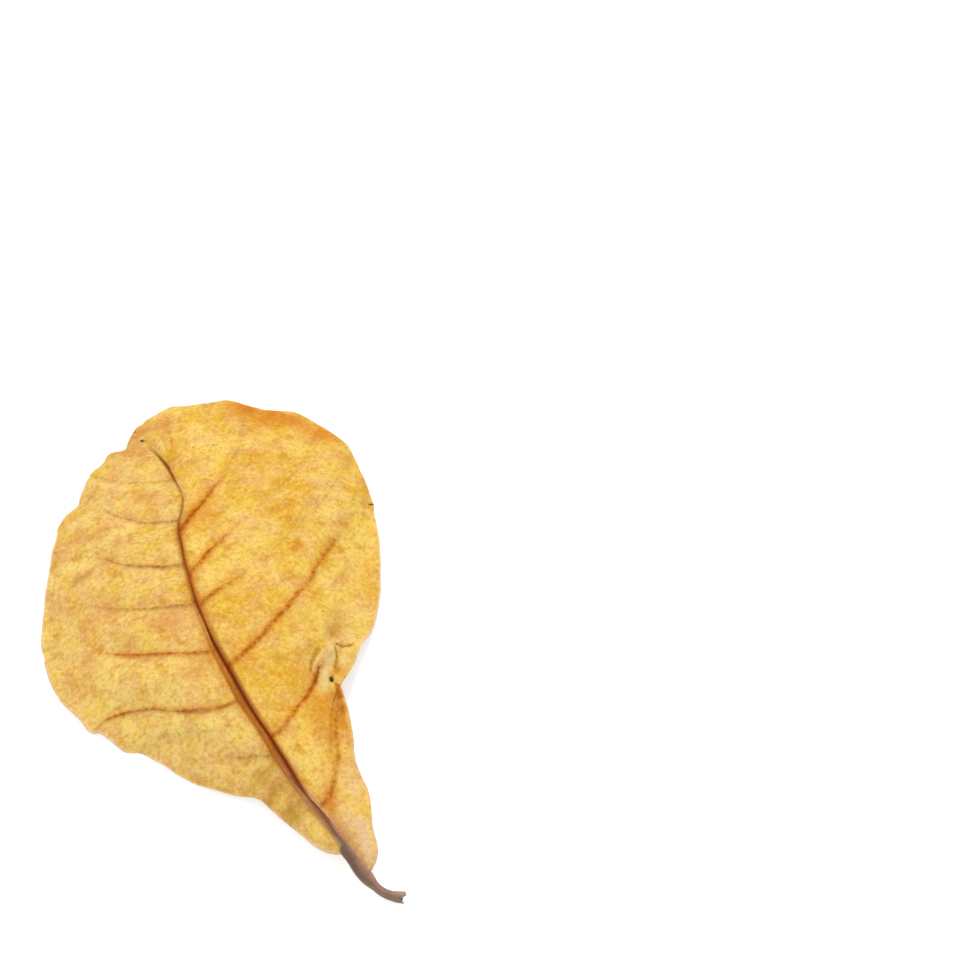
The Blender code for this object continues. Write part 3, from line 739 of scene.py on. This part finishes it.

# Painted shade along the creases of the pucker, partly the brown of its veins, painted highlights on
# its ridges, and dark specks: start, end, half-width, strength
CREASE_SHADE_BROWN = (186, 108, 20)
CREASES = (
    ((13, 60.2), (14.2, 62.4), 0.55, 0.6), ((14.4, 63), (18.3, 66.8), 0.6, 0.55),
    ((24.3, 66.8), (25.4, 65.1), 0.6, 0.75), ((25.4, 65.1), (27.2, 64.6), 0.9, 0.85),
    ((27.2, 64.6), (28.6, 64.8), 0.5, 0.6), ((23, 65.4), (22.5, 62.6), 0.4, 0.65),
    ((22.5, 62.6), (20.2, 59.2), 0.4, 0.55), ((13.9, 58.2), (13, 56.6), 0.6, 0.8),
    ((13, 56.6), (10.2, 53.9), 0.9, 0.85), ((10.2, 53.9), (7.6, 51.4), 0.8, 0.8),
    ((18.5, 53.8), (17.5, 49.3), 0.9, 0.85), ((17.5, 49.3), (16.2, 45.4), 1.1, 0.55),
    ((16.2, 45.4), (14.4, 39.8), 0.9, 0.3), ((-5.5, 24.6), (-9.4, 44), 0.25, 0.4),
)
# Painted highlights along the edges of the pucker's folds, where they catch the light
RIDGE_HIGHLIGHT = (253, 206, 132)
RIDGE_HIGHLIGHTS = (
    ((14.2, 60.4), (15.4, 62.6), 0.4, 0.9), ((15.4, 62.6), (19.6, 66.2), 0.35, 0.85),
    ((19.6, 66.2), (22.4, 67.6), 0.4, 0.8), ((18.6, 54.4), (20, 53), 0.4, 0.8),
    ((24.6, 67.6), (27.4, 66.4), 0.8, 0.5), ((14.3, 59.6), (17.6, 58.9), 0.3, 0.5),
)
# The first speck is painted shade in the pit of the hole; the others are the leaf's own dark specks
SPECK_AND_HOLE_DARK = (70, 28, 16)
SPECKS_AND_HOLE_SHADE = (
    (*HOLE, 0.75, 1), ((3.2, 175.2), (3, 175.9), 0.7, 0.9), ((2.7, 182.1), (2.9, 182.3), 0.45, 0.7),
    ((21.2, 157), (21.3, 157.2), 0.4, 0.6), ((15.2, 159.4), (15.3, 159.6), 0.35, 0.5),
    ((60.4, 119.8), (59.2, 120), 0.5, 0.9), ((22.6, 132.4), (22.8, 132.5), 0.35, 0.5),
)


def rib_line_mask(aside, along):
    """How strong the midrib's dark line is, a bell curve across, and how far right of it one is."""
    places, offsets, radii, strengths = np.array(RIB_LINE).T
    offset, radius = np.interp(along, places, offsets), np.interp(along, places, radii)
    return np.interp(along, places, strengths) * bump_at(aside - offset, radius), aside - offset


# Ragged edges of the spots, from two smooth noises: how strong, size, shift, seed
RAGGED_EDGES = ((0.45, 1.9, 50.0, 71), (0.25, 0.8, 80.0, 72))


def spot_mask(plan, spots):
    """Sum of soft round spots, each given by its place, radius and strength, ragged by noise."""
    ragged = 0.0
    for strength, size, shift, seed in RAGGED_EDGES:
        place = plan / size + shift
        ragged = ragged + strength * soft_noise(place[..., 0], place[..., 1], seed)
    mask = np.zeros(plan.shape[:-1])
    for across, along, radius, strength in spots:
        away = np.hypot(plan[..., 0] - across, plan[..., 1] - along)
        mask += strength * bump_at(away * (1.0 + 0.5 * ragged), radius)
    return np.clip(mask, 0.0, 1.0)


# Places on the blade, how far one on its other side shows the leaf's upper face, and how near one
# on the stalk is to the blade
aside_mm, along_mm = blade["across"], blade["along"]
under_share = ease(1.0, 12.0, along_mm[:, ::-1])
near_blade = ease(-6.0, 0.0, stalk_along)


def whole_leaf(on_top, on_stalk, below):
    """Values at every point of the leaf, from those on top of the blade, and its stalk's.

    The blade's other side takes the same values as the top, times the factor given as below. Near
    the stalk that factor is 1, and the stalk's values turn into those of the blade's first ring.
    """
    under_part = (1.0 + (below - 1.0) * under_share) * on_top[:, ::-1]
    blade_part = np.concatenate([on_top, under_part], axis=1)
    return np.concatenate([on_stalk + (blade_part[:1] - on_stalk) * near_blade, blade_part]).ravel()


# The midrib's colour, with a soft edge that runs out wider on its right side near the base
rib_share = np.abs(blade["across_rib"])
left_wall = (1 - ease(0.72, 1.15, rib_share)) * (1 - 0.7 * ease(*RIB_FADE[0], along_mm))
right_edge = 1.3 + 0.4 * (1 - ease(0.0, 30.0, along_mm))
right_wall = 1 - ease(0.9, right_edge, rib_share)
rib_mask = np.where(aside_mm < 0.0, left_wall, right_wall) * (1 - ease(*RIB_FADE[1], along_mm))
at_stalk = (1 - ease(0.3, 1.5, along_mm)) * (1 - ease(2.0, 2.6, np.abs(aside_mm)))
rib_mask = np.maximum(rib_mask, at_stalk)

# The dark line, carried on as painted shade along the stalk's left wall and over its lower side
# towards its broken end
rib_line_and_shade, from_line = rib_line_mask(aside_mm, along_mm)
stalk_shade, from_stalk_line = rib_line_mask(stalk_aside, stalk_along)
stalk_shade *= ease(-0.6, 0.0, stalk_height)
# Painted shade over the stalk's lower side towards its broken end
shaded_low_side = ease(-0.2, 0.9, -stalk_height) * ease(5.0, 9.0, -stalk_along)
stalk_shade = np.maximum(stalk_shade, 0.95 * shaded_low_side)
before_tip = 1 - ease(180.0, 184.0, along_mm)

# The glow beside the midrib starts at its edge
glow_places, glow_left, glow_right = np.array(RIB_GLOW).T
rib_edge = np.interp(along_mm, *np.array(RIB_SECTIONS)[:, :2].T)
left_glow = np.interp(along_mm, glow_places, glow_left)
right_glow = np.interp(along_mm, glow_places, glow_right)
from_rib = np.maximum(np.abs(aside_mm) - rib_edge, 0.0)
rib_glow = np.where(aside_mm > 0.0, right_glow, left_glow) * bump_at(from_rib, RIB_GLOW_RADIUS)

masks = {
    "rib": whole_leaf(rib_mask, 1.0, 0.25),
    "rib_line_and_shade": whole_leaf(rib_line_and_shade * before_tip, stalk_shade, 0.3),
    "rib_side": whole_leaf(ease(-0.4, 0.5, from_line), ease(-0.4, 0.5, from_stalk_line), 1.0),
    "vein_line": whole_leaf(blade["vein_line"], 0.0, 0.5),
    "vein_warmth": whole_leaf(blade["vein_warmth"], 0.0, 1.0),
    "vein_glow": whole_leaf(blade["vein_glow"], 0.0, 0.4),
    "rib_glow": whole_leaf(rib_glow, 0.0, 0.4),
    "left_half": whole_leaf(1 - ease(-6.0, 6.0, aside_mm), 0.5, 1.0),
    "edge_mm": whole_leaf(blade["edge"], 9.0, 1.0),
    "along_mm": whole_leaf(along_mm, stalk_along, 1.0),
    "upper_face": np.concatenate([
        0.0 * stalk_along, np.concatenate([0.0 * along_mm, under_share], axis=1)]).ravel(),
}
for name, (_, spots) in SPOTS.items():
    masks[name] = whole_leaf(spot_mask(blade["middle"], spots), 0.0, 0.6)
for name, values in masks.items():
    attribute = leaf_mesh.attributes.new(name, "FLOAT", "POINT")
    attribute.data.foreach_set("value", values.astype(np.float32))

# Place on the leaf: across, along, and a third value that keeps patterns of the halves apart
HALVES_APART = 40.0
across_values, halves = whole_leaf(aside_mm, stalk_aside, 1.0), masks["left_half"] * HALVES_APART
place_values = np.stack([across_values, masks["along_mm"], halves], axis=1)
attribute = leaf_mesh.attributes.new("leaf_place", "FLOAT_VECTOR", "POINT")
attribute.data.foreach_set("vector", place_values.astype(np.float32).ravel())

# Colours of the dry leaf as seen, from 0 to 255, and how bright its paint is for them in this light
LEAF_BRIGHTNESS = 0.60
GOLDEN = (237, 186, 68)
PALE = (252, 214, 108)
BUFF = (249, 220, 138)
TAN = (236, 180, 108)
OCHRE = (220, 154, 44)
PEACH = (240, 186, 126)
YELLOW = (240, 196, 60)
TOASTED = (204, 138, 52)
VEIN_ORANGE = (186, 98, 10)
VEIN_GREY = (160, 112, 52)
GLOW_ORANGE = (228, 138, 30)
GLOW_TAN = (212, 158, 88)
RIM_PALE = (254, 212, 158)
UPPER_FACE = (214, 146, 74)

# Colours of the walls of the stalk and the midrib, and of their dark line
# The stalk is painted darker on its left wall, as shade, and lighter on its right wall, as lit
STALK_SHADE_GREY = (150, 130, 110)
STALK_LIT_BEIGE = (200, 170, 150)
STALK_LIT_BROWN = (168, 132, 112)
# The midrib's right wall near the base is painted lighter, as light falling on it
RIB_LIT_CREAM = (238, 182, 145)
RIB_TAN = (200, 146, 98)
RIB_BROWN = (194, 126, 68)
RIB_OCHRE = (190, 112, 32)
RIB_RUST = (202, 112, 36)
RIB_GOLD = (214, 146, 50)
# This grey is painted shade on the stalk's left and lower side
LINE_SHADE_GREY = (110, 86, 72)
LINE_BROWN = (132, 72, 32)
LINE_DARK = (116, 28, 0)
LINE_RUST = (150, 66, 0)
LINE_ORANGE = (190, 106, 12)

# Where each of them lies along the midrib, on its left wall, its right wall and its dark line
LEFT_FLANK_STOPS = (
    (6, STALK_SHADE_GREY), (18, RIB_TAN), (45, RIB_OCHRE), (110, RIB_OCHRE), (136, RIB_GOLD),
)
RIGHT_FLANK_STOPS = (
    (-15, STALK_LIT_BEIGE), (-9, STALK_LIT_BROWN), (-4, STALK_LIT_BROWN), (10, RIB_LIT_CREAM), (22, RIB_LIT_CREAM),
    (34, RIB_BROWN), (60, RIB_RUST), (115, RIB_RUST), (136, RIB_GOLD),
)
RIB_LINE_STOPS = (
    (8, LINE_SHADE_GREY), (20, LINE_BROWN), (38, LINE_DARK), (95, LINE_DARK), (120, LINE_RUST),
    (132, LINE_RUST), (144, LINE_ORANGE), (151, LINE_ORANGE), (160, LINE_RUST), (172, LINE_RUST),
    (182, OCHRE),
)


def seen(colour):
    """Colour from 0 to 255 as the eye sees it, as the light it stands for, with full opacity."""
    share = np.array(colour) / 255.0
    light = np.where(share <= 0.04045, share / 12.92, ((share + 0.055) / 1.055) ** 2.4)
    return (*(light * LEAF_BRIGHTNESS).tolist(), 1.0)


paint = bpy.data.materials.new("dried_leaf")
paint.use_nodes = True
nodes = paint.node_tree.nodes
links = paint.node_tree.links
shader = nodes["Principled BSDF"]


def node(kind, inputs=(), **settings):
    """A new node of the leaf's material, with its settings, and its inputs set or linked."""
    made = nodes.new(kind)
    for key, value in settings.items():
        setattr(made, key, value)
    for key, value in dict(inputs).items():
        if isinstance(value, bpy.types.NodeSocket):
            links.new(value, made.inputs[key])
        else:
            made.inputs[key].default_value = value
    return made


def mask(name):
    """Value of one of the leaf's masks."""
    return node("ShaderNodeAttribute", attribute_name=name).outputs["Fac"]


def math_of(operation, first, second=0.0, third=0.0):
    """Result of one sum on up to three values."""
    return node("ShaderNodeMath", {0: first, 1: second, 2: third}, operation=operation).outputs[0]


def vector_of(operation, first, second, output="Vector"):
    """Result of one sum on two vectors, or on a vector and a number where it is scaled."""
    key = "Scale" if operation == "SCALE" else 1
    return node("ShaderNodeVectorMath", {0: first, key: second}, operation=operation).outputs[output]


def stepped(value, low, high, to_low=0.0, to_high=1.0):
    """Value mapped from one range to another by a smooth step."""
    inputs = {"Value": value, "From Min": low, "From Max": high, "To Min": to_low, "To Max": to_high}
    return node("ShaderNodeMapRange", inputs, interpolation_type="SMOOTHSTEP").outputs["Result"]


def placed(vector, scale, shift=(0.0, 0.0, 0.0)):
    """Vector scaled along each axis, then shifted."""
    return node("ShaderNodeMapping", {"Vector": vector, "Scale": scale, "Location": shift}).outputs[0]


def noise(vector, scale, detail=2.0, roughness=0.5, distortion=0.0):
    """Cloudy noise, from about 0.3 to 0.7, at the given number of clouds per millimetre."""
    inputs = {"Vector": vector, "Scale": scale, "Detail": detail, "Roughness": roughness}
    return node("ShaderNodeTexNoise", {**inputs, "Distortion": distortion}).outputs["Fac"]


def net_of(vector, scale):
    """Distance to the nearest edge between cells of a random net."""
    inputs = {"Vector": vector, "Scale": scale, "Randomness": 1.0}
    return node("ShaderNodeTexVoronoi", inputs, feature="DISTANCE_TO_EDGE").outputs["Distance"]


def mixed(amount, first, second):
    """The first colour, with the given amount of the second over it, each a socket or as seen."""
    made = node("ShaderNodeMix", {"Factor": amount}, data_type="RGBA")
    for socket, value in ((made.inputs[6], first), (made.inputs[7], second)):
        if isinstance(value, bpy.types.NodeSocket):
            links.new(value, socket)
        else:
            socket.default_value = seen(value)
    return made.outputs[2]


def ramp_along(stops):
    """Colour that changes along the midrib, through the given colours at the given distances."""
    first, last = stops[0][0], stops[-1][0]
    inputs = {"Value": mask("along_mm"), "From Min": first, "From Max": last}
    share = node("ShaderNodeMapRange", inputs)
    ramp = node("ShaderNodeValToRGB", {"Fac": share.outputs["Result"]})
    elements = ramp.color_ramp.elements
    for number, (distance, colour) in enumerate(stops):
        position = (distance - first) / (last - first)
        stop = elements[number] if number < 2 else elements.new(position)
        stop.position = position
        stop.color = seen(colour)
    return ramp.outputs["Color"]


def line_between(start, end, half_width, strength):
    """Soft line on the plan of the blade: the nearest place on it, and the distance from there."""
    run = Vector((end[0] - start[0], end[1] - start[1], 0.0))
    offset = vector_of("SUBTRACT", flat_place, (*start, 0.0))
    along = vector_of("DOT_PRODUCT", offset, run.normalized(), "Value")
    along = math_of("MINIMUM", math_of("MAXIMUM", along), run.length)
    nearest = vector_of("SCALE", tuple(run.normalized()), along)
    away = vector_of("DISTANCE", offset, nearest, "Value")
    return stepped(away, 0.2 * half_width, 1.4 * half_width, strength, 0.0)


# Mottling of the blade: broad clouds, soft blotches, and a fine grain
metres = node("ShaderNodeTexCoord").outputs["Object"]
millimetres = placed(metres, (1000.0, 1000.0, 1000.0), leaf_shift)
leaf_place = node("ShaderNodeAttribute", attribute_name="leaf_place").outputs["Vector"]
clouds = noise(millimetres, 0.045, 3.0, 0.5, 0.4)
tan_clouds = noise(millimetres, 0.09, 3.0, 0.6)
blotches = noise(millimetres, 0.21, 3.0, 0.50)
tints = noise(millimetres, 0.17, 3.0, 0.45)
speckle = noise(millimetres, 0.8, 2.0, 0.5)
grain = noise(millimetres, 2.4, 2.0, 0.6)
streaks = noise(placed(leaf_place, (0.12, 0.75, 1.0)), 1.0, 3.0, 0.6)
fibres = noise(placed(leaf_place, (3.0, 0.25, 1.0)), 1.0, 3.0, 0.6)
net = net_of(placed(leaf_place, (0.30, 0.17, 1.0)), 1.0)
fine_net = net_of(millimetres, 0.55)

colour = mixed(stepped(clouds, 0.38, 0.60), GOLDEN, PALE)
colour = mixed(math_of("MULTIPLY", mask("left_half"), 0.55), colour, BUFF)
tan_share = math_of("MULTIPLY_ADD", mask("left_half"), 0.46, 0.34)
colour = mixed(math_of("MULTIPLY", stepped(tan_clouds, 0.44, 0.62), tan_share), colour, TAN)

# Layers of the mottling: pattern, its values where the layer starts and is full, strength, colour
MOTTLING = (
    (blotches, 0.46, 0.8, 1, OCHRE), (blotches, 0.48, 0.28, 0.6, PALE),
    (tints, 0.47, 0.66, 0.4, PEACH), (tints, 0.48, 0.32, 0.45, YELLOW),
    (streaks, 0.5, 0.8, 0.4, TOASTED), (speckle, 0.5, 0.78, 0.5, OCHRE),
    (speckle, 0.46, 0.28, 0.5, PALE),
)
for pattern, start, full, strength, layer_colour in MOTTLING:
    colour = mixed(stepped(pattern, start, full, 0.0, strength), colour, layer_colour)

# Pale rim, spots, glow beside the veins, and over the mottling painted crease shade, painted ridge
# highlights and specks
colour = mixed(stepped(mask("edge_mm"), 0.2, 1.2, 0.75, 0.0), colour, RIM_PALE)
for name, (spot_colour, _) in SPOTS.items():
    colour = mixed(mask(name), colour, spot_colour)
glow_colour = mixed(mask("vein_warmth"), GLOW_TAN, GLOW_ORANGE)
colour = mixed(math_of("MULTIPLY", mask("vein_glow"), 0.70), colour, glow_colour)
colour = mixed(math_of("MULTIPLY", mask("rib_glow"), 0.85), colour, GLOW_ORANGE)
flat_place = vector_of("MULTIPLY", millimetres, (1.0, 1.0, 0.0))
for lines, line_colour in ((CREASES, CREASE_SHADE_BROWN), (RIDGE_HIGHLIGHTS, RIDGE_HIGHLIGHT), (SPECKS_AND_HOLE_SHADE, SPECK_AND_HOLE_DARK)):
    for line in lines:
        colour = mixed(line_between(*line), colour, line_colour)
upper = mixed(stepped(blotches, 0.42, 0.62), UPPER_FACE, TOASTED)
colour = mixed(math_of("MULTIPLY", mask("upper_face"), 0.7), colour, upper)

# Side veins, midrib and stalk
vein_colour = mixed(mask("vein_warmth"), VEIN_GREY, VEIN_ORANGE)
vein_amount = math_of("MULTIPLY", mask("vein_line"), stepped(speckle, 0.40, 0.60, 0.50, 1.0))
colour = mixed(vein_amount, colour, vein_colour)
rib_colour = mixed(mask("rib_side"), ramp_along(LEFT_FLANK_STOPS), ramp_along(RIGHT_FLANK_STOPS))
rib_colour = vector_of("SCALE", rib_colour, stepped(fibres, 0.35, 0.65, 1.12, 0.84))
colour = mixed(mask("rib"), colour, rib_colour)
colour = mixed(mask("rib_line_and_shade"), colour, ramp_along(RIB_LINE_STOPS))
speckle_light = stepped(speckle, 0.3, 0.7, 1.06, 0.93)
grain_light = stepped(grain, 0.3, 0.7, 1.10, 0.90)
brightness = math_of("MULTIPLY", speckle_light, grain_light)
links.new(vector_of("SCALE", colour, brightness), shader.inputs["Base Color"])

# Fine relief and sheen. Relief of each pattern: how much its whole range adds to the height.
BUMP_METRES = 0.00022
BUMP_STRENGTH = 0.8
RELIEF = (
    (stepped(net, 0.0, 0.14), -0.11), (stepped(fine_net, 0.0, 0.2), -0.04), (speckle, 0.7),
    (grain, 0.35), (streaks, 0.9),
)
links.new(stepped(blotches, 0.3, 0.7, 0.55, 0.72), shader.inputs["Roughness"])
shader.inputs["Specular IOR Level"].default_value = 0.06
shader.inputs["Specular Tint"].default_value = (1.0, 0.82, 0.55, 1.0)
relief_height = math_of("MULTIPLY", mask("rib"), fibres)
for pattern, height in RELIEF:
    relief_height = math_of("MULTIPLY_ADD", pattern, height, relief_height)
inputs = {"Height": relief_height, "Distance": BUMP_METRES, "Strength": BUMP_STRENGTH}
bump = node("ShaderNodeBump", inputs)
links.new(bump.outputs["Normal"], shader.inputs["Normal"])
leaf_mesh.materials.append(paint)

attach(leaf, "root")
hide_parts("leaf")
